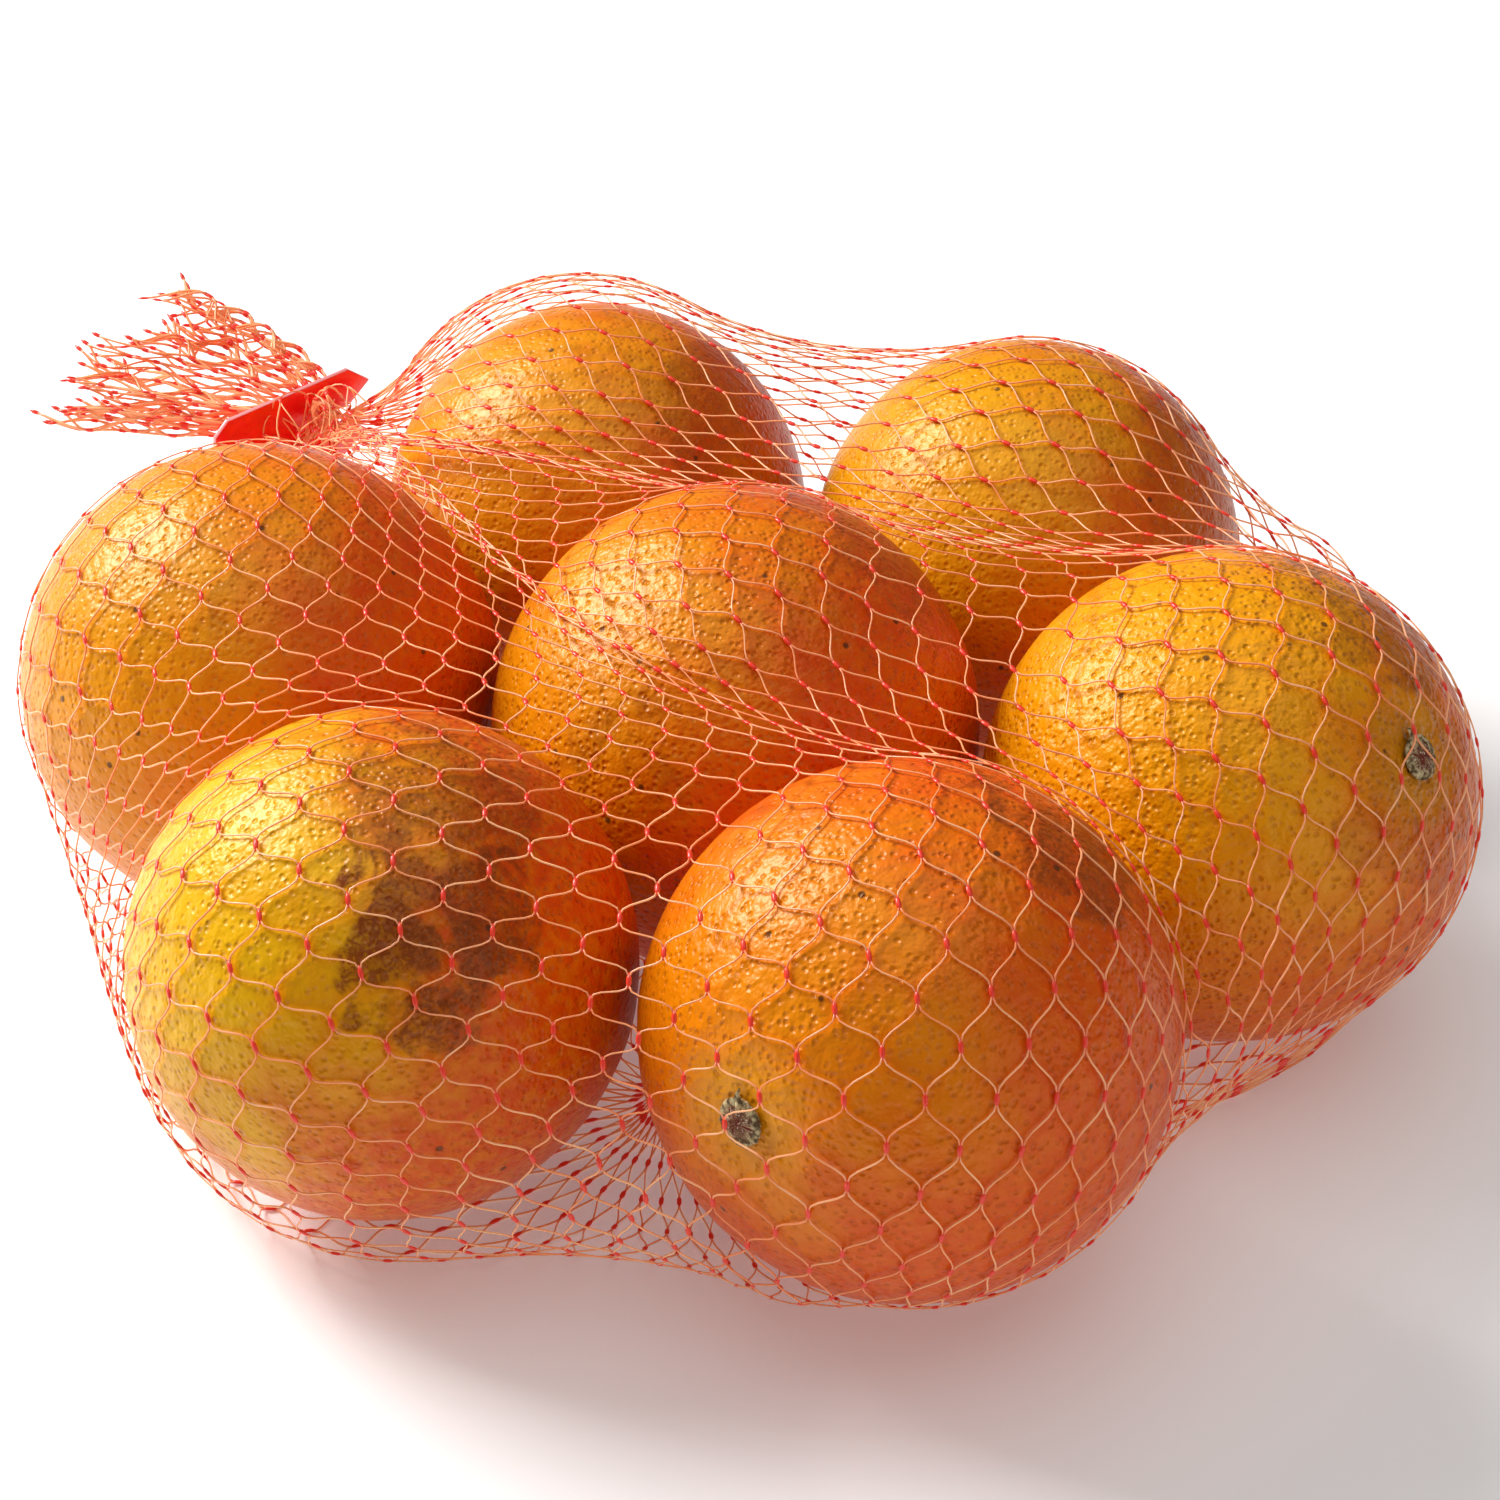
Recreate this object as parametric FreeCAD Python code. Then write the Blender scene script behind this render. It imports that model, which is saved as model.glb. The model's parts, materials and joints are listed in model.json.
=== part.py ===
import FreeCAD, Part
import math
import os
from FreeCAD import Placement, Rotation, Vector

# A retail net bag of seven oranges, lying on a table. The net is one knotless
# tube of plastic mesh. It is gathered at the back left, where a flat closure tag
# holds it shut and a frilled tail stands out, and its far end is gathered under
# the fruit in a small crimped clip. Millimetres, +Z up, +X to the right, +Y to
# the back. The origin is on the table, in the net's flat underside.

# The net: wall of the plain solid that stands for the mesh, and the room inside it.
NET_WALL = 0.8
FRUIT_GAP = 0.35

# The oranges: place on the table, radius, and the way the stem end points.
ORANGES = {
    "left": (-89.7, 16.7, 43.8, (-0.35, 0.90, 0.25)),
    "back_left": (-30.6, 82.0, 42.1, (-0.15, 0.90, 0.40)),
    "back_right": (54.3, 65.9, 42.1, (0.45, 0.80, 0.40)),
    "right": (83.4, -19.4, 43.2, (0.64, -0.53, 0.55)),
    "front_middle": (25.1, -83.7, 43.1, (-0.63, -0.75, 0.19)),
    "front_left": (-59.7, -65.1, 41.9, (-0.70, 0.35, -0.62)),
    "middle": (-2.6, -0.1, 44.1, (0.45, 0.35, -0.82)),
}
OUTER_RING = ("left", "back_left", "back_right", "right", "front_middle", "front_left")
STEM_DIMPLE = 1.6
BLOSSOM_DIMPLE = 1.0
DIMPLE_SPREAD = 0.20
PROFILE_STEPS = 20

# The dried stem button, set in a flat seat at the bottom of the stem dimple.
BUTTON_RADIUS = 4.2
BUTTON_SEAT = 1.9
BUTTON_HEIGHT = 1.4
BUTTON_HOLLOW = 0.6

# The neck: its centre in the tag's throat, and the tag's own directions.
NECK = Vector(-86.9, 103.0, 53.2)
NECK_OUT = Vector(-0.7104, 0.6804, 0.1801).normalize()
TAG_ALONG = NECK_OUT.cross(Vector(0, 0, 1)).normalize()
TAG_DOWN = NECK_OUT.cross(TAG_ALONG)
NECK_HALF = (4.0, 1.6)
NECK_SPAN = (-2.0, 1.5)
SHOULDER_HALF = (30.0, 22.0)
SHOULDER_INSET = 36.0
SHOULDER_SHIFT = 14.0
SHOULDER_HEIGHT = 48.0

# The closure tag, measured from the neck along and down its own plane.
TAG_THICKNESS = 1.0
TAG_LEFT = -29.6
TAG_HALF_HEIGHT = 11.0
TAG_SHOULDER = 4.4
TAG_TIP = (10.4, 6.2)
TAG_CHAMFER = 3.0
THROAT_MOUTH = 5.4
THROAT_END = -2.6
THROAT_HALF = 2.0

# The tail: the way it leans, the way it fans out, and its sections as
# (distance from the neck, half width, half thickness).
TAIL_ROOT = 3.2
TAIL_AXIS = Vector(-0.93, 0.26, 0.25).normalize()
TAIL_FAN = Vector(0.352, 0.829, 0.434).normalize()
TAIL_SECTIONS = ((10.0, 10.5, 3.6), (28.0, 15.5, 5.2), (54.0, 20.0, 6.0))

# The far end: a pocket in the underside, the gathered net in it, and its clip.
POCKET_MOUTH = 16.0
POCKET_ROOF = 8.0
POCKET_DEPTH = 11.0
GATHER_RADIUS = 3.0
GATHER_FLARE = 6.0
GATHER_BOTTOM = 2.0
CLIP_RADIUS = 4.4
CLIP_SPAN = (6.5, 9.5)


def centre_of(name):
    """Centre of one orange, resting on the net's underside."""
    x, y, radius, _ = ORANGES[name]
    return Vector(x, y, NET_WALL + FRUIT_GAP + radius)


def slab_around_fruit(offset, base):
    """The rounded slab that lies `offset` from the ring of outer oranges' centres."""
    corners = [Vector(centre_of(name).x, centre_of(name).y, base) for name in OUTER_RING]
    outline = Part.makePolygon(corners + corners[:1]).makeOffset2D(offset)
    side_left = 0.4
    block = Part.Face(outline).extrude(Vector(0, 0, 2 * offset))
    rims = [edge for edge in block.Edges
            if abs(edge.BoundBox.ZLength) < 1e-6]
    return block.makeFillet(offset - side_left, rims)


def ellipse_wire(centre, half_long, half_short, along, across):
    """An elliptical section, its long half along one direction, its short half across."""
    curve = Part.Ellipse(centre + along * half_long, centre + across * half_short, centre)
    return Part.Wire(curve.toShape())


def orange(radius):
    """A body of revolution about its stem axis, with a dimple at each end and a stem seat."""
    profile = []
    for step in range(PROFILE_STEPS + 1):
        angle = math.pi * step / PROFILE_STEPS
        stem = STEM_DIMPLE * math.exp(-(angle / DIMPLE_SPREAD) ** 2)
        blossom = BLOSSOM_DIMPLE * math.exp(-((math.pi - angle) / DIMPLE_SPREAD) ** 2)
        reach = radius - stem - blossom
        profile.append(Vector(reach * math.sin(angle), 0, reach * math.cos(angle)))
    profile[0].x = profile[-1].x = 0
    curve = Part.BSplineCurve()
    curve.interpolate(Points=profile, InitialTangent=Vector(1, 0, 0), FinalTangent=Vector(-1, 0, 0))
    outline = Part.Wire([curve.toShape(), Part.makeLine(profile[-1], profile[0])])
    body = Part.Face(outline).revolve(Vector(0, 0, 0), Vector(0, 0, 1), 360)
    seat = Part.makeCylinder(BUTTON_RADIUS, BUTTON_SEAT, Vector(0, 0, radius - BUTTON_SEAT))
    return body.cut(seat)


def stem_button(radius):
    """The dried calyx disc: a flat ring with a hollow where the stalk broke off."""
    low = radius - BUTTON_SEAT
    high = low + BUTTON_HEIGHT
    rim = BUTTON_RADIUS - 0.8
    floor = BUTTON_RADIUS * 0.35
    section = [
        Vector(0, 0, low),
        Vector(BUTTON_RADIUS, 0, low),
        Vector(BUTTON_RADIUS, 0, low + BUTTON_HEIGHT * 0.4),
        Vector(rim, 0, high),
        Vector(floor + 0.6, 0, high),
        Vector(floor, 0, high - BUTTON_HOLLOW),
        Vector(0, 0, high - BUTTON_HOLLOW),
    ]
    face = Part.Face(Part.makePolygon(section + section[:1]))
    return face.revolve(Vector(0, 0, 0), Vector(0, 0, 1), 360)


def pocket(grow):
    """The recess in the underside, between three oranges, that holds the gathered far end."""
    three = [centre_of(name) for name in ("middle", "front_left", "front_middle")]
    middle = (three[0] + three[1] + three[2]) * (1 / 3)
    base = Vector(middle.x, middle.y, 0)
    return Part.makeCone(POCKET_MOUTH + grow, POCKET_ROOF + grow, POCKET_DEPTH + grow, base), base


def net_bag(outer):
    """The stretch of net round the fruit: one closed skin with a flat underside."""
    inner = slab_around_fruit(offset_of_net() - NET_WALL, NET_WALL)
    return outer.cut(pocket(0)[0]).cut(inner.cut(pocket(NET_WALL)[0]))


def offset_of_net():
    """How far the net's outer face stands from the outer oranges' centres."""
    largest = max(radius for _, _, radius, _ in ORANGES.values())
    return largest + FRUIT_GAP + NET_WALL


def net_neck(outer):
    """The gathered net from the bag's back-left side, through the tag, to the tail."""
    first, second = centre_of("left"), centre_of("back_left")
    side = Vector(second.x - first.x, second.y - first.y, 0).normalize()
    out = Vector(-side.y, side.x, 0)
    middle = (first + second) * 0.5
    base = middle + out * SHOULDER_INSET + side * SHOULDER_SHIFT
    base.z = SHOULDER_HEIGHT
    sections = [ellipse_wire(base, *SHOULDER_HALF, side, Vector(0, 0, -1))]
    for distance in NECK_SPAN:
        sections.append(ellipse_wire(NECK + NECK_OUT * distance, *NECK_HALF, TAG_ALONG, TAG_DOWN))
    return Part.makeLoft(sections, True, True).cut(outer)


def net_tail():
    """The frilled tail beyond the tag: a flat fan that leans over to the left."""
    sections = [ellipse_wire(NECK + NECK_OUT * TAIL_ROOT, *NECK_HALF, TAG_ALONG, TAG_DOWN)]
    across = TAIL_AXIS.cross(TAIL_FAN).normalize()
    for distance, half_width, half_thickness in TAIL_SECTIONS:
        centre = NECK + NECK_OUT * TAIL_ROOT + TAIL_AXIS * (distance - TAIL_ROOT)
        turn = min(1.0, distance / TAIL_SECTIONS[1][0])
        along = (TAG_ALONG * (1 - turn) + TAIL_FAN * turn).normalize()
        down = (TAG_DOWN * (1 - turn) + across * turn)
        down = (down - along * down.dot(along)).normalize()
        sections.append(ellipse_wire(centre, half_width, half_thickness, along, down))
    return Part.makeLoft(sections, True, True)


def closure_tag():
    """A flat plastic plate with a throat open at one end, pushed sideways over the neck."""
    half = TAG_HALF_HEIGHT
    upper = [
        (THROAT_MOUTH, -THROAT_HALF),
        (TAG_TIP[0], -TAG_TIP[1]),
        (TAG_SHOULDER, -half),
        (TAG_LEFT + TAG_CHAMFER, -half),
        (TAG_LEFT, -half + TAG_CHAMFER),
    ]
    outline = [(THROAT_END, -THROAT_HALF)] + upper
    outline += [(along, -down) for along, down in reversed(outline)]
    corners = [Vector(along, down, -TAG_THICKNESS / 2) for along, down in outline]
    throat_end = Part.Arc(
        corners[-1],
        Vector(THROAT_END - THROAT_HALF, 0, -TAG_THICKNESS / 2),
        corners[0],
    )
    wire = Part.Wire(Part.makePolygon(corners).Edges + [throat_end.toShape()])
    plate = Part.Face(wire).extrude(Vector(0, 0, TAG_THICKNESS))
    frame = FreeCAD.Matrix(
        TAG_ALONG.x, TAG_DOWN.x, NECK_OUT.x, NECK.x,
        TAG_ALONG.y, TAG_DOWN.y, NECK_OUT.y, NECK.y,
        TAG_ALONG.z, TAG_DOWN.z, NECK_OUT.z, NECK.z,
        0, 0, 0, 1,
    )
    plate.Placement = Placement(frame)
    return plate


def net_end_gather(base):
    """The far end of the net, bunched through the clip, with a short frill below it."""
    middle = sum(CLIP_SPAN) / 2
    shank = Part.makeCylinder(GATHER_RADIUS, POCKET_DEPTH - middle, base + Vector(0, 0, middle))
    lower = Part.makeCylinder(GATHER_RADIUS, middle - CLIP_SPAN[0], base + Vector(0, 0, CLIP_SPAN[0]))
    frill = Part.makeCone(GATHER_FLARE, GATHER_RADIUS, CLIP_SPAN[0] - GATHER_BOTTOM,
                          base + Vector(0, 0, GATHER_BOTTOM))
    return shank.fuse([lower, frill]).removeSplitter()


def end_clip(base):
    """The crimped metal band that closes the far end."""
    low, high = CLIP_SPAN
    band = Part.makeCylinder(CLIP_RADIUS, high - low, base + Vector(0, 0, low))
    band = band.makeFillet(0.4, [edge for edge in band.Edges if edge.Length > 2 * CLIP_RADIUS])
    return band.cut(Part.makeCylinder(GATHER_RADIUS, high - low, base + Vector(0, 0, low)))


def export(name, shape):
    """Write one piece, and print its volume and whether it is sound."""
    os.makedirs("parts", exist_ok=True)
    shape.exportStep(f"parts/{name}.step")
    sound = shape.isValid() and len(shape.Solids) == 1
    print(f"{name:24s} {shape.Volume / 1000:9.3f} cm3  {'ok' if sound else 'CHECK'}")


outer_slab = slab_around_fruit(offset_of_net(), 0)
end_base = pocket(0)[1]
export("net_bag", net_bag(outer_slab))
export("net_neck", net_neck(outer_slab))
export("net_tail", net_tail())
export("closure_tag", closure_tag())
export("net_end_gather", net_end_gather(end_base))
export("end_clip", end_clip(end_base))
for place, (_, _, size, stem_way) in ORANGES.items():
    pose = Placement(centre_of(place), Rotation(Vector(0, 0, 1), Vector(*stem_way)))
    for label, piece in (("orange", orange(size)), ("stem_button", stem_button(size))):
        piece.Placement = pose
        export(f"{label}_{place}", piece)
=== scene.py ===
import json
import math

import bmesh
import bpy
import numpy as np
from mathutils import Matrix, Vector


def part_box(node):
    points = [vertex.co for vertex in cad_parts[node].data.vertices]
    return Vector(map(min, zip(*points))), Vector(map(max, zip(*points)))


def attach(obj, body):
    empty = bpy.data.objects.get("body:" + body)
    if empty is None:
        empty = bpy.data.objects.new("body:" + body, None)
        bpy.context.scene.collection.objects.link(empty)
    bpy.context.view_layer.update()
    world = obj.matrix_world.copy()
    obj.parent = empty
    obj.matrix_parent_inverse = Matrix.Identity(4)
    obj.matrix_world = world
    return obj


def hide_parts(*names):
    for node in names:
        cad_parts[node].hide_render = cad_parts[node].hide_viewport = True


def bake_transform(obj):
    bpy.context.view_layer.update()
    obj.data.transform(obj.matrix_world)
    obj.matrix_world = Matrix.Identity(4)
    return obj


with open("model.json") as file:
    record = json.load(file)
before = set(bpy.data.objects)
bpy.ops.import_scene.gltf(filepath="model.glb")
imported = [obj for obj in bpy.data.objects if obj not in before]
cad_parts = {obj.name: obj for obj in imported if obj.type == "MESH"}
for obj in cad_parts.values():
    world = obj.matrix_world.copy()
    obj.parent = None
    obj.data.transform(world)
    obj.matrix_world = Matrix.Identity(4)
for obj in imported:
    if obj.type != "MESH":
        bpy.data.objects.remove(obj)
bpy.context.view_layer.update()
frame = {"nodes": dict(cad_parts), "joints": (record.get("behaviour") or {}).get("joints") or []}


# ---- Oranges ----------------------------------------------------------------
# Seven navel oranges, each free to turn under the net. The peel is a waxy skin,
# pitted all over by its oil glands, ripened unevenly and painted yellower where the
# light falls, with dry brown scars where leaves rubbed it and small black specks.

mm = 0.001
joints = {joint["name"]: joint for joint in frame["joints"]}
PLACES = ("left", "back_left", "back_right", "right", "front_middle", "front_left", "middle")
GLAND_SPACING = 1.5 * mm
SPECK_SPACING = 7 * mm
STEM_DIMPLE, NAVEL_DIMPLE, DIMPLE_REACH = 1.6 * mm, 1.0 * mm, 17 * mm
LUMP_SPACING, LUMP_DEPTH = 11 * mm, 0.4 * mm


def linear(colour):
    """An sRGB hex colour as the linear values that a shader takes."""
    parts = [int(colour[i:i + 2], 16) / 255 for i in (1, 3, 5)]
    return [c / 12.92 if c <= 0.04045 else ((c + 0.055) / 1.055) ** 2.4 for c in parts] + [1.0]


def add_node(tree, kind, inputs=(), **settings):
    """Add a node with its settings, and give each named input its value or link."""
    made = tree.nodes.new("ShaderNode" + kind)
    for name, value in settings.items():
        setattr(made, name, value)
    for socket, value in dict(inputs).items():
        if isinstance(value, bpy.types.NodeSocket):
            tree.links.new(value, made.inputs[socket])
        else:
            made.inputs[socket].default_value = value
    return made


def new_material(name, **constants):
    """A material with a bare Principled shader, its constants set on the shader's sockets."""
    material = bpy.data.materials.new(name)
    material.use_nodes = True
    shader = material.node_tree.nodes["Principled BSDF"]
    for socket, value in constants.items():
        shader.inputs[socket.replace("_", " ")].default_value = value
    return material, material.node_tree, shader


def mix_colours(tree, factor, first, second):
    """The colour between two others, as a socket."""
    made = add_node(tree, "Mix", {0: factor, 6: first, 7: second}, data_type="RGBA", blend_type="MIX")
    return made.outputs[2]


def pattern_of(tree, place, spacing, detail, distortion=0.0):
    """A cloudy pattern of that spacing, as a socket from 0 to 1."""
    made = add_node(tree, "TexNoise", {"Vector": place, "Scale": 1 / spacing, "Detail": detail,
                                       "Distortion": distortion})
    return made.outputs["Fac"]


def fade(tree, value, start, end):
    """Value turned to 0 before start and 1 after end, with a soft change between them."""
    made = add_node(tree, "MapRange", {"Value": value, "From Min": start, "From Max": end},
                    interpolation_type="SMOOTHSTEP")
    return made.outputs["Result"]


def start_piece(name, add, **sizes):
    """Deselect everything, add a primitive, and name it for its piece."""
    bpy.ops.object.select_all(action="DESELECT")
    add(**sizes)
    made = bpy.context.active_object
    made.name = name
    made.data.name = name
    return made


def only(piece):
    """Make one object the selected and active one."""
    bpy.ops.object.select_all(action="DESELECT")
    piece.select_set(True)
    bpy.context.view_layer.objects.active = piece


def put_in_place(piece):
    """Leave the object at the origin, unturned and unscaled, with its place in its mesh."""
    only(piece)
    bpy.ops.object.transform_apply(location=True, rotation=True, scale=True)


def stand_along(piece, place, way):
    """Move a piece made at the origin to its place, its +Z turned that way."""
    piece.matrix_world = Matrix.Translation(place) @ way.to_track_quat("Z", "Y").to_matrix().to_4x4()
    put_in_place(piece)


def roughen(piece, grain, depth, level):
    """Displace the surface with a soft cloud pattern of that grain and depth; at level 1 only inward."""
    texture = bpy.data.textures.new(piece.name + "_clouds", "CLOUDS")
    texture.noise_scale = grain
    texture.noise_depth = 2
    only(piece)
    push = piece.modifiers.new("Undulation", "DISPLACE")
    push.texture = texture
    push.texture_coords = "LOCAL"
    push.strength = depth
    push.mid_level = level
    bpy.ops.object.modifier_apply(modifier=push.name)


def push_pole(piece, height, depth, reach):
    """Press a round dimple into the pole at that height, in edit mode."""
    only(piece)
    bpy.ops.object.mode_set(mode="EDIT")
    mesh = bmesh.from_edit_mesh(piece.data)
    at_the_pole = 0.02 * mm
    for vertex in mesh.verts:
        vertex.select = abs(vertex.co.z - height) < at_the_pole
    mesh.select_flush_mode()
    bmesh.update_edit_mesh(piece.data)
    bpy.ops.transform.translate(
        value=(0, 0, -math.copysign(depth, height)), orient_type="LOCAL",
        use_proportional_edit=True, proportional_edit_falloff="SMOOTH", proportional_size=reach)
    bpy.ops.object.mode_set(mode="OBJECT")


# Each peel: its yellower and riper colours, which way its yellower side faces, how far
# that reaches round it, and how deep its pits and lumps are.
# On every fruit the yellower side faces the key light: partly the peel's own ripening, partly painted
# light.
PEELS = {
    "left": ("#E39204", "#DA4A00", (-0.80, -0.35, 0.40), 1.12, 1.0),
    "back_left": ("#DF9008", "#D65000", (-0.55, -0.45, 0.70), 0.80, 0.9),
    "back_right": ("#E29A06", "#D85800", (-0.65, -0.35, 0.65), 0.90, 1.0),
    "right": ("#F2A000", "#E06200", (-0.62, -0.35, 0.70), 1.05, 1.6),
    "front_middle": ("#EC8800", "#E05200", (-0.60, -0.45, 0.62), 0.64, 1.3),
    "front_left": ("#F0B404", "#D44C00", (-0.85, -0.30, 0.45), 0.90, 1.1),
    "middle": ("#E69000", "#DC4E00", (-0.75, -0.30, 0.60), 0.76, 1.3),
}
# Scars on each peel: direction from the fruit's centre, half angle in degrees, and strength.
SCARS = {
    "left": [],
    "back_left": [((0.75, -0.25, 0.60), 34, 0.45)],
    "back_right": [((0.80, -0.25, 0.50), 30, 0.35)],
    "right": [((0.48, 0.00, 0.88), 24, 0.50), ((0.60, -0.55, 0.40), 26, 0.30)],
    "front_middle": [((0.52, 0.02, 0.84), 22, 0.70)],
    "front_left": [((0.22, -0.80, 0.56), 19, 0.90), ((0.38, -0.58, 0.72), 20, 0.85),
                   ((0.30, -0.15, 0.94), 24, 0.60)],
    "middle": [((-0.42, -0.80, 0.40), 12, 0.45), ((0.60, 0.25, 0.75), 26, 0.40)],
}


def peel(place, centre, stem_way):
    """Orange peel: waxed skin with a satin gloss, fine pits, uneven ripening with painted light on its lit
    side, scars and specks.
    """
    material, tree, shader = new_material(
        "orange_peel_" + place, Roughness=0.34, IOR=1.45, Specular_IOR_Level=0.50,
        Specular_Tint=linear("#FFE2BC"))
    surface = add_node(tree, "TexCoord").outputs["Object"]
    local = add_node(tree, "VectorMath", {0: surface, 1: centre}, operation="SUBTRACT").outputs[0]
    way = add_node(tree, "VectorMath", {0: local}, operation="NORMALIZE").outputs[0]

    def towards(direction):
        unit = Vector(direction).normalized()
        return add_node(tree, "VectorMath", {0: way, 1: unit}, operation="DOT_PRODUCT").outputs["Value"]

    def noise(spacing, detail, distortion=0.0):
        return pattern_of(tree, local, spacing, detail, distortion)

    def calculate(operation, first, second):
        return add_node(tree, "Math", {0: first, 1: second}, operation=operation).outputs[0]

    def tinted(colour, mask, strength, tint):
        return mix_colours(tree, calculate("MULTIPLY", mask, strength), colour, linear(tint))

    def wavering(edge, pattern, depth):
        shift = calculate("MULTIPLY", calculate("SUBTRACT", pattern, 0.5), depth)
        return calculate("ADD", edge, shift)

    # Ripening and painted light: yellower round the side turned to the key light, blotched at the scale of
    # 10 to 20 mm.
    young_and_lit, ripe, lit_yellower_side, reach, pitted = PEELS[place]
    blotches = noise(16 * mm, 3)
    turned = wavering(towards(lit_yellower_side), blotches, 1.1)
    yellow = fade(tree, turned, 0.95 - reach, 1.45 - reach * 0.6)
    colour = mix_colours(tree, yellow, linear(ripe), linear(young_and_lit))
    mottle = fade(tree, noise(2.4 * mm, 4), 0.35, 0.70)
    colour = tinted(colour, mottle, 0.22, young_and_lit)

    # A greenish halo round the stem end.
    uneven = calculate("MULTIPLY", noise(5 * mm, 2), 0.02)
    halo = fade(tree, calculate("ADD", towards(stem_way), uneven), 0.955, 1.0)
    colour = tinted(colour, halo, 0.40, "#E0AC14")

    # Dry brown scars: streaked patches with ragged edges.
    for direction, half_angle, strength in SCARS[place]:
        near = math.cos(math.radians(half_angle))
        ragged = wavering(towards(direction), noise(9 * mm, 4, 0.6), 0.34)
        patch = fade(tree, ragged, near, near + 0.05)
        streaks = fade(tree, noise(1.3 * mm, 4, 1.2), 0.38, 0.62)
        streaked = calculate("ADD", calculate("MULTIPLY", streaks, 0.45), 0.55)
        amount = calculate("MULTIPLY", patch, calculate("MULTIPLY", streaked, strength))
        colour = mix_colours(tree, amount, colour, linear("#84380A"))

    # Specks: a few dark flecks of 0.5 to 1 mm, well apart.
    cells = add_node(tree, "TexVoronoi", {"Vector": local, "Scale": 1 / SPECK_SPACING})
    drawn_lot = add_node(tree, "SeparateColor", {"Color": cells.outputs["Color"]}).outputs[0]
    chosen = calculate("GREATER_THAN", drawn_lot, 0.60)
    fleck = calculate("MULTIPLY", fade(tree, cells.outputs["Distance"], 0.11, 0.06), chosen)
    colour = tinted(colour, fleck, 0.85, "#4A2A12")

    # Oil glands: pits about 1.5 mm apart over softer lumps, darker at their bottoms.
    glands = add_node(tree, "TexVoronoi", {"Vector": local, "Scale": 1 / GLAND_SPACING, "Randomness": 0.9})
    pit = fade(tree, glands.outputs["Distance"], 0.48, 0.05)
    colour = tinted(colour, pit, 0.30, "#B04A08")
    tree.links.new(colour, shader.inputs["Base Color"])

    lumps = calculate("MULTIPLY", noise(2.6 * mm, 2), 1.1)
    grain = calculate("MULTIPLY", noise(0.7 * mm, 2), 0.16)
    pitted_lumps = calculate("SUBTRACT", lumps, calculate("MULTIPLY", pit, 0.40))
    height = calculate("ADD", pitted_lumps, grain)
    bump = add_node(tree, "Bump", {"Strength": 0.9, "Distance": 0.5 * mm * pitted, "Height": height})
    tree.links.new(bump.outputs["Normal"], shader.inputs["Normal"])
    return material


fruit_at = {}
for place in PLACES:
    joint = joints[f"fruit_{place}_turn"]
    centre = Vector(joint["pos_m"])
    stem_way = Vector(joint["axis"]).normalized()
    low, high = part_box("orange_" + place)
    radius = max(high - low) / 2
    fruit_at[place] = (centre, radius, stem_way)
    fruit = start_piece(f"peel_{place}", bpy.ops.mesh.primitive_uv_sphere_add,
                        segments=192, ring_count=128, radius=radius)
    push_pole(fruit, radius, STEM_DIMPLE, DIMPLE_REACH)
    push_pole(fruit, -radius, NAVEL_DIMPLE, DIMPLE_REACH)
    stand_along(fruit, centre, stem_way)
    roughen(fruit, LUMP_SPACING, LUMP_DEPTH, 1.0)
    bpy.ops.object.shade_smooth()
    fruit.data.materials.append(peel(place, centre, stem_way))
    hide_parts("orange_" + place)
    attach(fruit, "fruit_" + place)


# ---- Stem buttons -------------------------------------------------------------
# The dried calyx left on each orange: a woody disc with a raised rim, a hollow
# where the stalk broke off, pale fibres in it and short crisp lobes round it.

BUTTON_RADIUS = 4.9 * mm
BUTTON_HEIGHT = 1.5 * mm
BUTTON_SUNK = 1.8 * mm
HOLLOW_SHARE = 0.52
# The rings of its top from the edge inward: how wide each is and how far it is raised
# or sunk, in millimetres.
TOP_RINGS = ((0.9, 0.25), (0.5, 0), (0.35, -0.9), (1.2, 0.35), (0.5, 0))
LOBES, LOBE_TURN, FIRST_LOBE = 5, 1.2566, 0.3
# Each lobe grows in three steps: how far out and up in millimetres, and how much it narrows.
LOBE_STEPS = ((0.9, 0.1, 0.8), (1.0, -0.1, 0.6), (0.9, -0.4, 0.35))
LONG_LOBES, SHORT_LOBE = (0, 3), 0.6


def dried_calyx():
    """Dry calyx: matt grey-brown bark outside, red-brown in the hollow, flecked with pale fibre."""
    material, tree, shader = new_material("dried_calyx", Roughness=0.85, IOR=1.4)
    surface = add_node(tree, "TexCoord").outputs["Object"]
    bark = pattern_of(tree, surface, 0.9 * mm, 5.0)
    fibre = pattern_of(tree, surface, 0.5 * mm, 3.0, 1.5)
    hollow = add_node(tree, "Attribute", attribute_name="hollow").outputs["Fac"]
    skin = mix_colours(tree, fade(tree, bark, 0.38, 0.64), linear("#5C482C"), linear("#D2C090"))
    inside = mix_colours(tree, fade(tree, fibre, 0.56, 0.66), linear("#6E200E"), linear("#F0E0C8"))
    tree.links.new(mix_colours(tree, hollow, skin, inside), shader.inputs["Base Color"])
    bump = add_node(tree, "Bump", {"Strength": 0.8, "Distance": 0.3 * mm, "Height": bark})
    tree.links.new(bump.outputs["Normal"], shader.inputs["Normal"])
    return material


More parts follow.
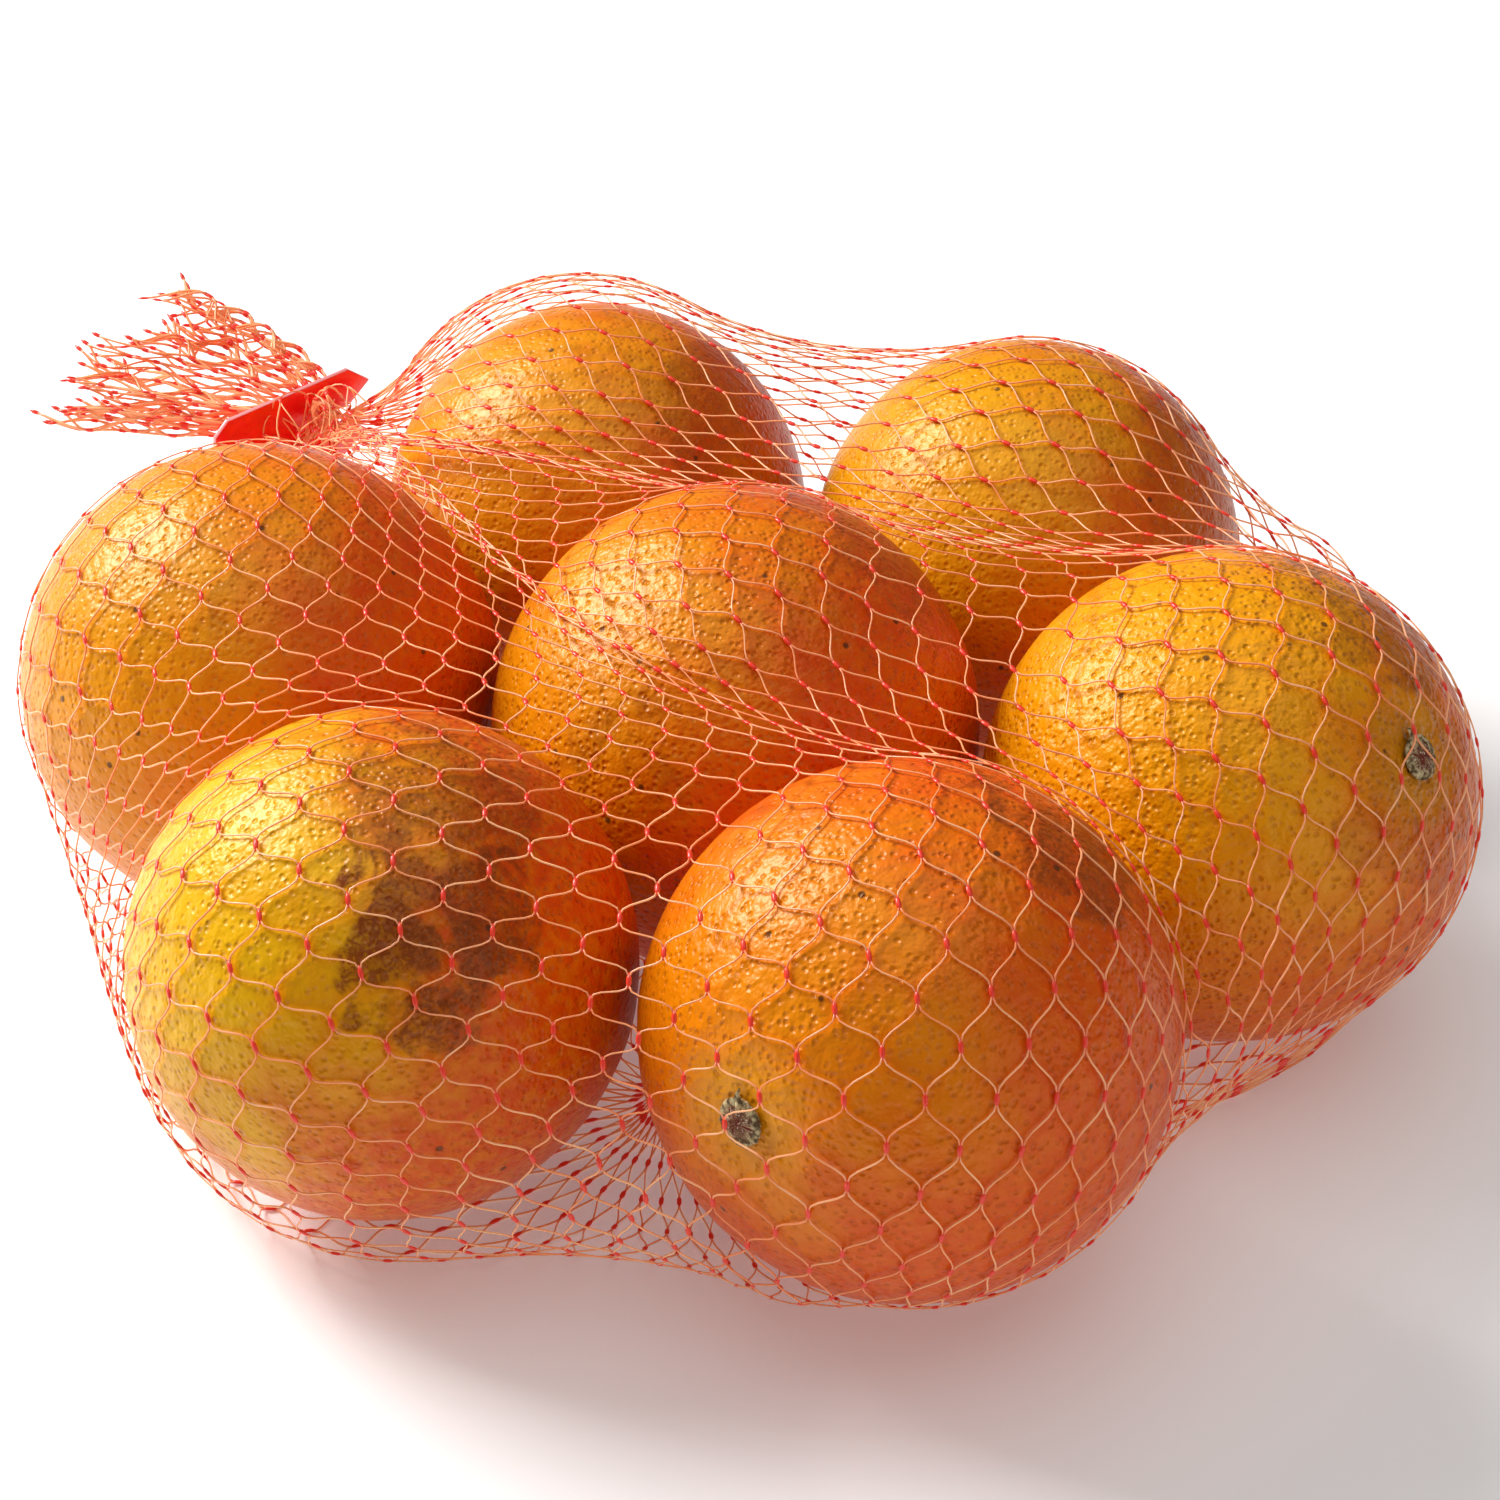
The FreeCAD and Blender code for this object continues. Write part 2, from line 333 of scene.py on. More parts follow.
def model_button():
    """One stem button, standing on the origin along +Z."""
    button = start_piece("calyx_pattern", bpy.ops.mesh.primitive_cylinder_add, vertices=40,
                         radius=BUTTON_RADIUS * 0.86, depth=BUTTON_HEIGHT,
                         location=(0, 0, BUTTON_HEIGHT / 2))
    put_in_place(button)
    bpy.ops.object.mode_set(mode="EDIT")
    mesh = bmesh.from_edit_mesh(button.data)

    def select_faces(wanted):
        bpy.ops.mesh.select_all(action="DESELECT")
        for face in mesh.faces:
            face.select = wanted(face)
        mesh.select_flush_mode()
        bmesh.update_edit_mesh(button.data)

    select_faces(lambda face: face.normal.z > 0.9)
    for width, rise in TOP_RINGS:
        bpy.ops.mesh.inset(thickness=width * mm)
        if rise:
            bpy.ops.transform.translate(value=(0, 0, rise * mm))
    for lobe in range(LOBES):
        turn = lobe * LOBE_TURN + FIRST_LOBE
        way = Vector((math.cos(turn), math.sin(turn), 0))
        near = 0.955 if lobe % 2 else 0.975

        def at_the_lobe(face):
            place = face.calc_center_median()
            return (abs(face.normal.z) < 0.3 and place.to_2d().normalized().dot(way.to_2d()) > near
                    and place.length > BUTTON_RADIUS * 0.7)

        select_faces(at_the_lobe)
        for out, rise, shrink in LOBE_STEPS:
            length = out * mm * (1.0 if lobe in LONG_LOBES else SHORT_LOBE)
            move = way * length + Vector((0, 0, rise * mm))
            bpy.ops.mesh.extrude_region_move(TRANSFORM_OT_translate={"value": move})
            bpy.ops.transform.resize(value=(shrink, shrink, shrink))
    bpy.ops.mesh.select_all(action="SELECT")
    bpy.ops.mesh.normals_make_consistent(inside=False)
    bpy.ops.object.mode_set(mode="OBJECT")
    smooth = button.modifiers.new("Rounding", "SUBSURF")
    smooth.levels = smooth.render_levels = 2
    bpy.ops.object.modifier_apply(modifier=smooth.name)
    roughen(button, 0.8 * mm, 0.6 * mm, 0.5)
    hollow = button.data.attributes.new("hollow", "FLOAT", "POINT")
    for index, vertex in enumerate(button.data.vertices):
        inside = vertex.co.to_2d().length < BUTTON_RADIUS * HOLLOW_SHARE and vertex.co.z > 0.3 * mm
        hollow.data[index].value = 1.0 if inside else 0.0
    bpy.ops.object.shade_smooth()
    button.data.materials.append(dried_calyx())
    return button


pattern = model_button()
for place, (centre, radius, stem_way) in fruit_at.items():
    button = pattern.copy()
    button.data = pattern.data.copy()
    button.name = button.data.name = f"calyx_{place}"
    bpy.context.collection.objects.link(button)
    stand_along(button, centre + stem_way * (radius - BUTTON_SUNK), stem_way)
    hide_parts("stem_button_" + place)
    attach(button, "fruit_" + place)
bpy.data.objects.remove(pattern)


# ---- Net ----------------------------------------------------------------------
# A knotless diamond mesh of drawn polyethylene, one seamless tube: every strand
# leaves its joint along the tube, sweeps aside and comes back along the tube at
# the next. The tube is gathered in the tag's throat at one end and in the clip
# under the fruit at the other, so it is relaxed here over the fruit and the table.

STRAND = 9.0 * mm
STRAND_RADIUS = 0.17 * mm
CELLS_ROUND = 60
ROWS = 52
CLEARANCE = 0.45 * mm
TABLE_CLEARANCE = 0.25 * mm

# The neck's way out through the tag, and the throat's own length and depth across it.
neck_out = np.array(Vector((-0.7104, 0.6804, 0.1801)).normalized())
neck_along = -np.array(joints["tag_slide"]["axis"])
neck_down = np.cross(neck_out, neck_along)
TAG_TO_BEND = 3 * mm
neck = np.array(joints["tail_bend"]["pos_m"]) - neck_out * TAG_TO_BEND
clip_low, clip_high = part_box("end_clip")
far_end = np.array(((clip_low.x + clip_high.x) / 2, (clip_low.y + clip_high.y) / 2, clip_low.z + 0.5 * mm))
centres = np.array([fruit_at[place][0] for place in PLACES])
radii = np.array([fruit_at[place][1] for place in PLACES])
bag_middle = np.array((-3 * mm, 0, 44 * mm))
SQUASH = np.array((1, 1, 0.40))


def even_directions(count):
    """Unit vectors spread evenly over a sphere."""
    step = np.arange(count) + 0.5
    turn = math.pi * (1 + 5 ** 0.5) * step
    rise = 1 - 2 * step / count
    flat = np.sqrt(1 - rise * rise)
    return np.stack([flat * np.cos(turn), flat * np.sin(turn), rise], 1)


# Slack holds the net off the fruit in places: three lumps of it in front of the tag, one
# over the back left orange, and one beyond the gap at the right. Spheres stand for it.
puffs = [neck - neck_out * 9 * mm + neck_along * aside + np.array((0, 0, 8.5 * mm))
         for aside in (-25 * mm, -14 * mm, -4 * mm)]
puffs += [centres[1] + np.array((-3, 5, 3.5)) * mm, np.array((96, 33, 46)) * mm]
puff_radii = np.append(np.array((4.5, 7.0, 5.0)) * mm, (radii[1], 20 * mm))
wall_normals = even_directions(4000)
held_points = np.vstack([centres, puffs, neck - neck_out * 2 * mm])
held_radii = np.concatenate([radii, puff_radii, [2 * mm]]) + 0.6 * mm
wall_distances = (wall_normals @ (held_points - bag_middle).T + held_radii).max(1)


def on_taut_skin(directions):
    """Points of the skin stretched round the fruit and the neck, in those directions from its middle."""
    flat = directions.reshape(-1, 3)
    reach = np.empty(len(flat))
    batch = 500
    for start in range(0, len(flat), batch):
        towards_wall = flat[start:start + batch] @ wall_normals.T
        to_wall = wall_distances / np.maximum(towards_wall, 1e-3)
        reach[start:start + batch] = np.where(towards_wall > 1e-3, to_wall, 9.0).min(1)
    return (bag_middle + flat * reach[:, None]).reshape(directions.shape)


def pole(point):
    """A point's place on the plane that the skin is mapped from."""
    way = (point - bag_middle) / SQUASH
    way = way / np.linalg.norm(way)
    return complex(way[0], way[1]) / (1 - way[2])


neck_pole, far_pole = pole(neck), pole(far_end)


def skin_point(along, turn):
    """The skin's point at that turn round the tube, `along` going from the neck to the far end."""
    ratio = np.exp(along + 1j * turn)
    plane = (neck_pole + ratio * far_pole) / (1 + ratio)
    size = np.abs(plane) ** 2
    way = np.stack([2 * plane.real, 2 * plane.imag, size - 1], -1) / (size + 1)[..., None] * SQUASH
    return on_taut_skin(way / np.linalg.norm(way, axis=-1, keepdims=True))


# The tube's long side is drawn out narrow and its short side opens wide, so the
# cells are shared out round it by how far each has to reach in the same rows.
fine_turns = 2 * math.pi * np.arange(240) / 240
END_LEVEL = 3.4
levels = np.linspace(-END_LEVEL, END_LEVEL, 160)
skin = skin_point(levels[:, None] + 0 * fine_turns, 0 * levels[:, None] + fine_turns)
reach = np.linalg.norm(np.diff(skin, axis=0), axis=2).sum(0)
widest = np.linalg.norm(np.roll(skin, -1, 1) - skin, axis=2).max(0)
row_height = np.clip(reach / ROWS, 0.66 * STRAND, 0.93 * STRAND)
cells_here = widest / (2 * np.sqrt(STRAND ** 2 - row_height ** 2))
shared = np.concatenate([[0], np.cumsum(cells_here / cells_here.sum())])


def turn_of(cell):
    """The turn round the tube at which a cell stands."""
    return np.interp(cell / CELLS_ROUND % 1, shared, np.linspace(0, 2 * math.pi, len(shared)))


# Folds, where the tube doubles back on itself near the neck: the place round it, how
# that drifts with each row, how much of the tube lies in each of the fold's three
# layers, and how many rows it runs for.
FOLDS = ((0.660, -0.0004, 0.044, 34), (0.610, -0.0050, 0.030, 18), (0.56, -0.0035, 0.030, 27),
         (0.45, 0.0, 0.022, 16))
# The side nearest the neck: its place round the tube, how far it reaches, how much
# closer its cells stand, and over how many rows from the neck.
CLOSE_SIDE, CLOSE_REACH, CLOSER, CLOSE_ROWS = 0.80, 0.11, 0.38, 24


def folded(row):
    """The place round the tube, in cells, of each cell in a row, doubled back at the folds."""
    fine = (np.arange(CELLS_ROUND * 8) + 0.5) / (CELLS_ROUND * 8)
    slope = np.ones(len(fine))
    for place, drift, layer, rows in FOLDS:
        off = np.abs((fine - place - drift * row + 0.5) % 1 - 0.5)
        slope[off < layer / 2] -= 2 * max(0, 1 - (row / rows) ** 3)
    # On the side nearest the neck the cells stand closer together, and fan out further on.
    near = 1 / (1 + math.exp((row - CLOSE_ROWS) / 3))
    slope[np.abs(fine - CLOSE_SIDE) < CLOSE_REACH] *= 1 - CLOSER * near
    turns = np.concatenate([[0], np.cumsum(slope / slope.sum())])
    turns += (CLOSE_SIDE - np.interp(CLOSE_SIDE, np.linspace(0, 1, len(turns)), turns)) * near
    cells = np.arange(CELLS_ROUND) + 0.5 * (row % 2)
    return CELLS_ROUND * np.interp(cells / CELLS_ROUND, np.linspace(0, 1, len(turns)), turns)


half_cells = np.arange(2 * CELLS_ROUND) / 2
lines = skin_point(levels[:, None] + 0 * half_cells, 0 * levels[:, None] + turn_of(half_cells))
steps_along = np.linalg.norm(np.diff(lines, axis=0), axis=2)
between = (lines[1:] + lines[:-1]) / 2
cell_width = np.linalg.norm(np.roll(between, -1, 1) - np.roll(between, 1, 1), axis=2)
cell_height = np.sqrt(np.maximum(STRAND ** 2 - (cell_width / 2) ** 2, (0.35 * STRAND) ** 2))
rows_passed = np.vstack([np.zeros(2 * CELLS_ROUND), np.cumsum(steps_along / cell_height, 0)])
# On the short side most of the rows left over are crumpled close to the neck.
CRUMPLED_SHARE, CRUMPLE_REACH = 0.75, 24 * mm
walked = np.vstack([np.zeros(2 * CELLS_ROUND), np.cumsum(steps_along, 0)])
left_over = np.maximum(ROWS - rows_passed[-1], 0)
rows_passed += left_over * CRUMPLED_SHARE * (1 - np.exp(-walked / CRUMPLE_REACH))
rows_passed /= rows_passed[-1]


def level_of(row, cell):
    """How far along the tube a row lies at one cell."""
    column = int(cell * 2) % (2 * CELLS_ROUND)
    onward = (column + 1) % (2 * CELLS_ROUND)
    share = cell * 2 % 1
    here, there = (np.interp(row / ROWS, rows_passed[:, c], levels) for c in (column, onward))
    return here * (1 - share) + there * share


net_points = np.zeros((ROWS + 1, CELLS_ROUND, 3))
for row in range(ROWS + 1):
    cells = folded(row)
    level = np.array([level_of(row, cell) for cell in cells])
    net_points[row] = skin_point(level, turn_of(cells))


def every_strand(rows):
    """The joints at the two ends of each strand, for that many rows of cells."""
    numbers = np.arange((rows + 1) * CELLS_ROUND).reshape(rows + 1, CELLS_ROUND)
    pairs = []
    for row in range(rows):
        upper, lower = numbers[row], numbers[row + 1]
        right, left = (np.roll(lower, -1), lower) if row % 2 else (lower, np.roll(lower, 1))
        pairs += [np.stack([upper, right], 1), np.stack([upper, left], 1)]
    return np.vstack(pairs)


strand_ends = every_strand(ROWS)
scatter = np.random.default_rng(7)


def bunched(row, middle, across, down, half_across, half_down):
    """A row gathered into a tight bunch, in the order of its cells."""
    seen = net_points[3 if row == 0 else ROWS - 3] - middle
    found = np.unwrap(np.arctan2(seen @ down / half_down, seen @ across / half_across))
    whole_turn = math.copysign(2 * math.pi, found[-1] - found[0])
    turn = whole_turn * (np.arange(CELLS_ROUND) + 0.5 * (row % 2)) / CELLS_ROUND
    turn += np.angle(np.mean(np.exp(1j * (found - turn))))
    deep = np.sqrt(scatter.uniform(0.1, 1, CELLS_ROUND))
    return (middle + np.outer(np.cos(turn) * half_across * deep, across)
            + np.outer(np.sin(turn) * half_down * deep, down))


THROAT_HALF_WIDE, THROAT_HALF_DEEP = 3.5 * mm, 1.3 * mm
CLIP_INNER_RADIUS = 2.4 * mm
throat_row = bunched(0, neck - neck_out * 1.2 * mm, neck_along, neck_down,
                     THROAT_HALF_WIDE, THROAT_HALF_DEEP)
clip_row = bunched(ROWS, far_end, np.array((1.0, 0, 0)), np.array((0, 1.0, 0)),
                   CLIP_INNER_RADIUS, CLIP_INNER_RADIUS)


def keep_clear(points, fruit_gap, table_gap):
    """Push points out of the fruit and the puffs, and up from the table."""
    for centre, radius in zip(np.vstack([centres, puffs]), np.append(radii, puff_radii)):
        away = points - centre
        distance = np.sqrt((away * away).sum(-1))
        inside = distance < radius + fruit_gap
        points[inside] = centre + away[inside] / distance[inside][:, None] * (radius + fruit_gap)
    points[..., 2] = np.maximum(points[..., 2], table_gap)


RELAX_STEPS = 700
SETTLING = 0.02 * mm
SHORTEST = 0.75 * STRAND
CRUSH_HOLD, OVERSHOOT = 0.3, 1.4


def relax(points):
    """Let the net settle: strands pulled back to their length, slack drawn in, its own weight."""
    points = points.reshape(-1, 3).copy()
    first, second = strand_ends.T
    count = len(points)

    def gather(moves):
        return np.stack([np.bincount(first, moves[:, k], count) - np.bincount(second, moves[:, k], count)
                         for k in range(3)], 1)

    meeting = np.bincount(strand_ends.ravel(), minlength=count)[:, None]
    for step in range(RELAX_STEPS):
        draw = 0.02 * max(0, 1 - 2 * step / RELAX_STEPS) + 0.003
        points += draw * gather(points[second] - points[first]) / meeting
        points[:, 2] -= SETTLING
        for _ in range(3):
            span = points[second] - points[first]
            length = np.linalg.norm(span, axis=1)
            off = np.maximum(length - STRAND, 0) + CRUSH_HOLD * np.minimum(length - SHORTEST, 0)
            pulled = off != 0
            share = np.bincount(first, pulled, count) + np.bincount(second, pulled, count)
            pull = span * (off / np.maximum(length, 1e-9) / 2)[:, None]
            points += gather(pull) / np.maximum(share, 1)[:, None] * OVERSHOOT
            points[:CELLS_ROUND] = throat_row
            points[-CELLS_ROUND:] = clip_row
            keep_clear(points, CLEARANCE, TABLE_CLEARANCE)
    return points.reshape(ROWS + 1, CELLS_ROUND, 3)


net_points = relax(net_points)


def lie_along(points, ends):
    """The way the tube runs at each joint: the mean of its strands' directions."""
    flat = points.reshape(-1, 3)
    way = np.zeros_like(flat)
    span = flat[ends[:, 1]] - flat[ends[:, 0]]
    span /= np.linalg.norm(span, axis=1, keepdims=True) + 1e-12
    for side in (0, 1):
        np.add.at(way, ends[:, side], span)
    return way / (np.linalg.norm(way, axis=1, keepdims=True) + 1e-12)


def facing(points, along):
    """The way the net's face looks at each joint."""
    across = np.roll(points, -1, 1) - np.roll(points, 1, 1)
    normal = np.cross(along.reshape(points.shape), across).reshape(-1, 3)
    normal /= np.linalg.norm(normal, axis=1, keepdims=True) + 1e-12
    outward = points.reshape(-1, 3) - points.reshape(-1, 3).mean(0)
    return normal * np.sign((normal * outward).sum(1, keepdims=True) + 1e-12)


# A joint: half its length, the places and sizes of its rings, and its half width and
# half thickness. A strand starts inside it.
KNOT_HALF = 1.25 * mm
KNOT_RINGS = np.array(((-1.0, 0.20), (-0.35, 0.95), (0.35, 0.95), (1.0, 0.20)))
KNOT_WIDE, KNOT_THICK = 0.48 * mm, 0.28 * mm
KNOT_SIDES = 6
STRAND_START = KNOT_HALF * 0.4
STRAND_STEPS = 6
STRAND_SIDES = 4
REDDEST_AT_KNOT = 0.6


def tubes(centrelines, side, up, radius_side, radius_up, sides):
    """Vertices and faces of capped tubes, all with the same number of rings and sides."""
    number, rings = centrelines.shape[:2]
    turn = 2 * math.pi * (np.arange(sides) + 0.5) / sides
    loop = (side[:, :, None] * (np.cos(turn)[:, None] * radius_side[..., None, None])
            + up[:, :, None] * (np.sin(turn)[:, None] * radius_up[..., None, None]))
    vertices = (centrelines[:, :, None] + loop).reshape(-1, 3)
    ring, corner = np.meshgrid(np.arange(rings - 1), np.arange(sides), indexing="ij")
    onward = (corner + 1) % sides
    wall = np.stack([ring * sides + corner, ring * sides + onward,
                     (ring + 1) * sides + onward, (ring + 1) * sides + corner], -1).reshape(-1, 4)
    base = np.arange(number)[:, None, None] * rings * sides
    walls = (wall[None] + base).reshape(-1, 4)
    first = np.arange(sides)[::-1]
    last = np.arange(sides) + (rings - 1) * sides
    caps = (np.stack([first, last])[None] + base).reshape(-1, sides)
    return vertices, walls, caps


def net_mesh(name, points, ends, along, normal, knots, clear, radius):
    """A piece of net: its strands as thin tubes, and its joints as small flattened lumps."""
    flat = points.reshape(-1, 3)
    start = flat[ends[:, 0]] + along[ends[:, 0]] * STRAND_START
    finish = flat[ends[:, 1]] - along[ends[:, 1]] * STRAND_START
    chord = np.linalg.norm(finish - start, axis=1)[:, None]
    leaving, arriving = along[ends[:, 0]] * chord, along[ends[:, 1]] * chord
    t = np.linspace(0, 1, STRAND_STEPS + 1)[None, :, None]
    line = ((2 * t ** 3 - 3 * t ** 2 + 1) * start[:, None]
            + (t ** 3 - 2 * t ** 2 + t) * leaving[:, None]
            + (3 * t ** 2 - 2 * t ** 3) * finish[:, None]
            + (t ** 3 - t ** 2) * arriving[:, None])
    if clear:
        keep_clear(line, CLEARANCE - 0.12 * mm, TABLE_CLEARANCE - 0.05 * mm)
    tangent = np.gradient(line, axis=1)
    tangent /= np.linalg.norm(tangent, axis=2, keepdims=True) + 1e-12
    up = normal[ends[:, 0]][:, None] * (1 - t) + normal[ends[:, 1]][:, None] * t
    side = np.cross(tangent, up)
    side /= np.linalg.norm(side, axis=2, keepdims=True) + 1e-12
    up = np.cross(side, tangent)
    width = np.full(line.shape[:2], radius)
    vertices, walls, caps = tubes(line, side, up, width, width, STRAND_SIDES)
    redness = np.abs(np.linspace(-1, 1, STRAND_STEPS + 1)) ** 4 * REDDEST_AT_KNOT
    tint = np.tile(np.repeat(redness, STRAND_SIDES), len(ends))

    knot_along = along[knots][:, None]
    knot_line = flat[knots][:, None] + knot_along * (KNOT_RINGS[:, 0] * KNOT_HALF)[None, :, None]
    knot_line[..., 2] = np.maximum(knot_line[..., 2], KNOT_WIDE)
    knot_side = np.cross(knot_along, normal[knots][:, None]) + 0 * knot_line
    knot_side /= np.linalg.norm(knot_side, axis=2, keepdims=True) + 1e-12
    knot_up = np.cross(knot_side, knot_along + 0 * knot_line)
    size = np.tile(KNOT_RINGS[:, 1], (len(knots), 1))
    more, more_walls, more_caps = tubes(knot_line, knot_side, knot_up,
                                        size * KNOT_WIDE, size * KNOT_THICK, KNOT_SIDES)
    faces = []
    for part in (walls, caps, more_walls + len(vertices), more_caps + len(vertices)):
        faces += part.tolist()
    data = bpy.data.meshes.new(name)
    data.from_pydata(np.vstack([vertices, more]), [], faces)
    tint = np.concatenate([tint, np.ones(len(more))])
    data.attributes.new("knot", "FLOAT", "POINT").data.foreach_set("value", tint.astype(np.float32))
    data.polygons.foreach_set("use_smooth", np.ones(len(faces), bool))
    data.update()
    piece = bpy.data.objects.new(name, data)
    bpy.context.collection.objects.link(piece)
    return piece


def drawn_polyethylene():
    """Drawn polyethylene: salmon strands with a painted glow, glossy, redder where they join."""
    material, tree, shader = new_material("drawn_polyethylene_net", Roughness=0.30, IOR=1.51,
                                          Emission_Strength=0.10)
    knot = add_node(tree, "Attribute", attribute_name="knot").outputs["Fac"]
    surface = add_node(tree, "TexCoord").outputs["Object"]
    uneven = pattern_of(tree, surface, 14 * mm, 2.0)
    strand = mix_colours(tree, fade(tree, uneven, 0.35, 0.65), linear("#F5925A"), linear("#FFBC86"))
    colour = mix_colours(tree, knot, strand, linear("#EA3A26"))
    tree.links.new(colour, shader.inputs["Base Color"])
    # The strands' colour is also emitted: a painted glow standing in for light passing through the thin
    # strands.
    tree.links.new(colour, shader.inputs["Emission Color"])
    return material


net_material = drawn_polyethylene()
along = lie_along(net_points, strand_ends)
normal = facing(net_points, along)
BANDS = 6
net_pieces = []
for band in range(BANDS):
    first_row, last_row = (round(ROWS * edge / BANDS) for edge in (band, band + 1))
    inside = (strand_ends[:, 0] >= first_row * CELLS_ROUND) & (strand_ends[:, 0] < last_row * CELLS_ROUND)
    knots = np.arange(max(first_row, 1) * CELLS_ROUND, last_row * CELLS_ROUND)
    piece = net_mesh(f"net_rows_{band + 1}", net_points, strand_ends[inside], along, normal, knots, True,
                     STRAND_RADIUS)
    piece.data.materials.append(net_material)
    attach(piece, "net")
    net_pieces.append(piece)
for piece in net_pieces:
    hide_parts("net_bag")
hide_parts("net_neck")
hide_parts("net_end_gather")


# ---- Net tail -------------------------------------------------------------------
# The same tube beyond the tag: six more rows, closed up and pleated into a flat fan
# whose cut edge is uneven.

TAIL_ROWS = 6
TAIL_ROOT = 3.2 * mm
TAIL_STRAND_RADIUS = 0.27 * mm
# The fan's lower edge, middle and upper edge, from its root to the cut.
TAIL_TIPS = np.array(((-50, -4, 1.5), (-44, 8.5, 7.5), (-29, 23, 14.5))) * mm
PLEATS = 8
SPREADING = 0.45


def tail_row(row):
    """One row of the tail, `row` counted outward from the throat."""
    turn = 2 * math.pi * (np.arange(CELLS_ROUND) + 0.5 * (row % 2)) / CELLS_ROUND
    lower, middle, upper = TAIL_TIPS
    share = row / TAIL_ROWS
    weave = math.pi * (row % 2)
    side = (-np.cos(turn) + 0.11 * np.sin(turn * PLEATS + 1.3 + weave)
            + 0.05 * np.sin(turn * 17 + 0.4 + weave))
    reach = (1 + 0.09 * np.sin(turn * 4 + 0.8) + 0.06 * np.sin(turn * 11)
             + scatter.uniform(-0.04, 0.04, CELLS_ROUND))
    spread = np.outer(side, (upper - lower) / 2) + np.outer(side ** 2, (upper + lower) / 2 - middle)
    face = np.cross(middle, upper - lower)
    face /= np.linalg.norm(face)
    pleat_depth = np.interp(share, (0, 0.25, 1), (1.2, 3.0, 5.0))
    depth = (0.6 * np.sin(turn) + 0.4 * np.sin(turn * PLEATS)) * pleat_depth * mm
    root = neck + neck_out * TAIL_ROOT
    return (root + np.outer(share * reach, middle) + spread * share ** SPREADING * reach[:, None]
            + np.outer(depth, face))


tail_points = np.array([throat_row] + [tail_row(row) for row in range(1, TAIL_ROWS + 1)])
tail_ends = every_strand(TAIL_ROWS)
tail_along = lie_along(tail_points, tail_ends)
tail_normal = facing(tail_points, tail_along)
tail_knots = np.arange(CELLS_ROUND, (TAIL_ROWS + 1) * CELLS_ROUND)
tail = net_mesh("net_tail_fan", tail_points, tail_ends, tail_along, tail_normal, tail_knots, False,
                TAIL_STRAND_RADIUS)
tail.data.materials.append(net_material)
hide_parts("net_tail")
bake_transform(tail)


# ---- Closure tag ----------------------------------------------------------------
# A flat plate punched from red polystyrene sheet, with a throat that is pushed sideways
# over the gathered neck. Its cut edges are slightly rounded, and painted paler as a highlight.


def punched_polystyrene():
    """Red polystyrene sheet: saturated colour, glossy, faintly uneven, with a painted highlight on its cut
    edges.
    """
    material, tree, shader = new_material("punched_red_polystyrene", Roughness=0.24, IOR=1.59)
    surface = add_node(tree, "TexCoord").outputs["Object"]
    grain = pattern_of(tree, surface, 3 * mm, 3.0)
    face = mix_colours(tree, fade(tree, grain, 0.3, 0.7), linear("#F00512"), linear("#FF1018"))
    edge = add_node(tree, "Attribute", attribute_name="painted_edge_highlight").outputs["Fac"]
    # The side faces are painted pale pink: a painted highlight along the cut edges.
    colour = mix_colours(tree, edge, face, linear("#F59A9C"))
    tree.links.new(colour, shader.inputs["Base Color"])
    bump = add_node(tree, "Bump", {"Strength": 0.15, "Distance": 0.1 * mm, "Height": grain})
    tree.links.new(bump.outputs["Normal"], shader.inputs["Normal"])
    return material


plate = bpy.data.objects.new("tag_plate", frame["nodes"]["closure_tag"].data.copy())
bpy.context.collection.objects.link(plate)
only(plate)
bpy.ops.object.mode_set(mode="EDIT")
bpy.ops.mesh.select_all(action="SELECT")
bpy.ops.mesh.remove_doubles(threshold=0.01 * mm)
bpy.ops.mesh.dissolve_limited(angle_limit=math.radians(1))
bpy.ops.object.mode_set(mode="OBJECT")
rounding = plate.modifiers.new("Edges", "BEVEL")
rounding.width = 0.18 * mm
rounding.segments = 2
rounding.limit_method = "ANGLE"
rounding.angle_limit = math.radians(40)
bpy.ops.object.modifier_apply(modifier=rounding.name)
bpy.ops.object.shade_smooth_by_angle(angle=math.radians(35))
# Mark the plate's side faces, which get the painted highlight.
painted_edge_highlight = plate.data.attributes.new("painted_edge_highlight", "FLOAT", "FACE")
for index, face in enumerate(plate.data.polygons):
    on_the_side = abs(face.normal.dot(Vector(neck_out))) < 0.8
    painted_edge_highlight.data[index].value = 1.0 if on_the_side else 0.0
plate.data.materials.clear()
plate.data.materials.append(punched_polystyrene())
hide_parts("closure_tag")
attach(plate, "tag")


# ---- End clip ---------------------------------------------------------------------
# A narrow band of aluminium crimped round the net's far end, under the fruit.


def crimped_aluminium():
    """Bright rolled aluminium: fine rolling lines round the band."""
    material, tree, shader = new_material("crimped_aluminium", Metallic=1.0, Roughness=0.32)
    surface = add_node(tree, "TexCoord").outputs["Object"]
    drawn = add_node(tree, "Mapping", {"Vector": surface, "Scale": (1.0, 1.0, 12.0)}).outputs["Vector"]
    lines = pattern_of(tree, drawn, 2 * mm, 4.0)
    colour = mix_colours(tree, lines, linear("#B9BBBD"), linear("#DADCDD"))
    tree.links.new(colour, shader.inputs["Base Color"])
    return material


